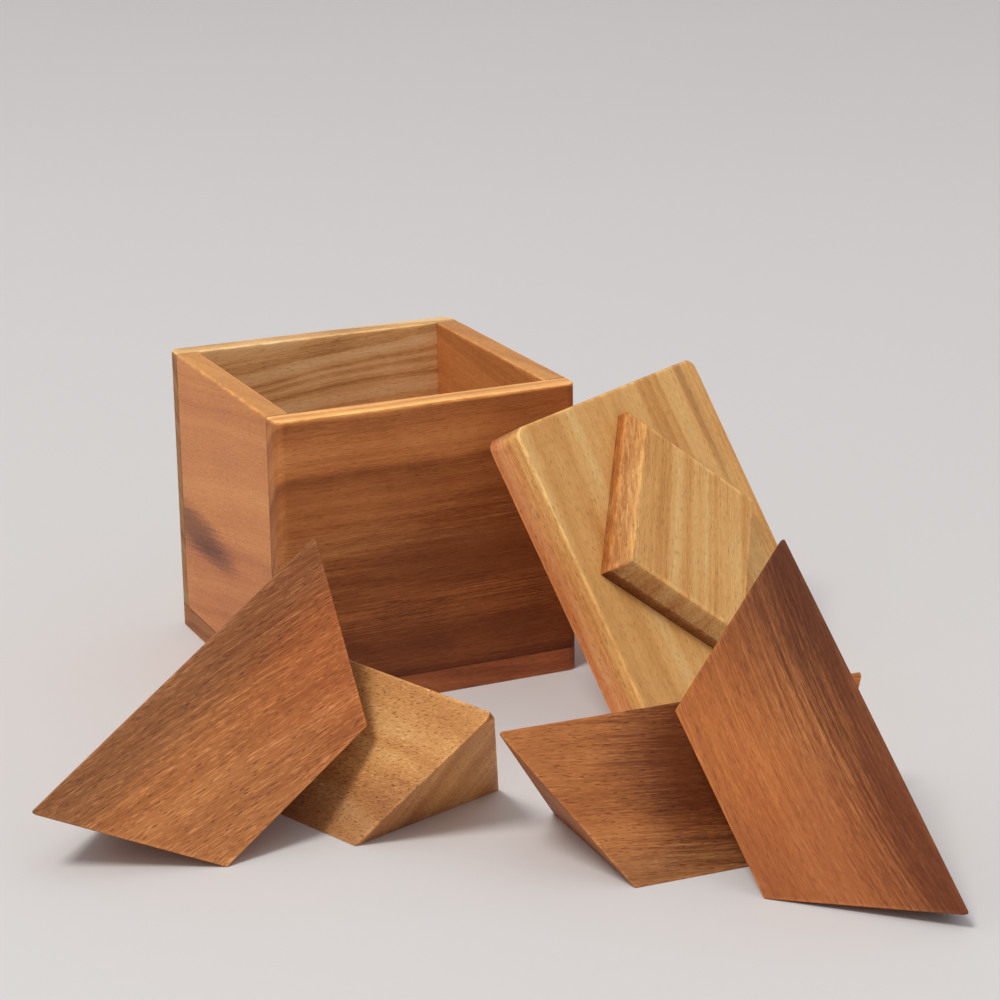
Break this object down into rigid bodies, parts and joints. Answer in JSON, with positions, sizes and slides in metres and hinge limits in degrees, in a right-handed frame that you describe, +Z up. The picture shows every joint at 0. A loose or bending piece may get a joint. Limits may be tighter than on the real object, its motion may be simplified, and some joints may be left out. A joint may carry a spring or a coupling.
{
  "type": "wooden puzzle box",
  "caption": "Open wooden box with a lift-off block-backed lid and loose half-tetrahedron pieces that pack inside it.",
  "frame": {"origin": "middle of the underside of the box, which stands on the table", "axes": "+Z up, -Y out of the front of the box, +X to the right along the front"},
  "size_m": [0.2485, 0.2851, 0.0855],
  "materials": {
    "front_wall_wood": "sanded, thin satin oil, open pores",
    "left_wall_wood": "sanded, thin satin oil, open pores",
    "right_wall_wood": "sanded, thin satin oil, open pores",
    "back_wall_wood": "sanded, thin satin oil, open pores",
    "base_wood": "sanded, thin satin oil, open pores",
    "lid_wood": "sanded, thin satin oil, open pores",
    "block_wood": "sanded, thin satin oil, open pores",
    "piece_a_wood": "sanded, thin satin oil, open pores",
    "piece_b_wood": "sanded, thin satin oil, open pores",
    "piece_c_wood": "sanded, thin satin oil, open pores",
    "piece_d_wood": "sanded, thin satin oil, open pores"
  },
  "bodies": {
    "box": {"base_board": "base_wood", "front_wall": "front_wall_wood", "back_wall": "back_wall_wood", "left_wall": "left_wall_wood", "right_wall": "right_wall_wood"},
    "lid": {"lid_board": "lid_wood", "lid_block": "block_wood"},
    "piece_a": {"puzzle_piece_a": "piece_a_wood"},
    "piece_b": {"puzzle_piece_b": "piece_b_wood"},
    "piece_c": {"puzzle_piece_c": "piece_c_wood"},
    "piece_d": {"puzzle_piece_d": "piece_d_wood"}
  },
  "joints": [
    {"name": "lid_lift", "type": "slide", "parent": "box", "child": "lid", "axis": [0, 0, 1], "range_m": [0, 0.1]},
    {"name": "piece_b_lift", "type": "slide", "parent": "box", "child": "piece_b", "axis": [0, 0, 1], "range_m": [0, 0.1]},
    {"name": "piece_a_lift", "type": "slide", "parent": "piece_b", "child": "piece_a", "axis": [0, 0, 1], "range_m": [0, 0.1]},
    {"name": "piece_c_lift", "type": "slide", "parent": "box", "child": "piece_c", "axis": [0, 0, 1], "range_m": [0, 0.1]},
    {"name": "piece_d_lift", "type": "slide", "parent": "piece_c", "child": "piece_d", "axis": [0, 0, 1], "range_m": [0, 0.1]}
  ]
}
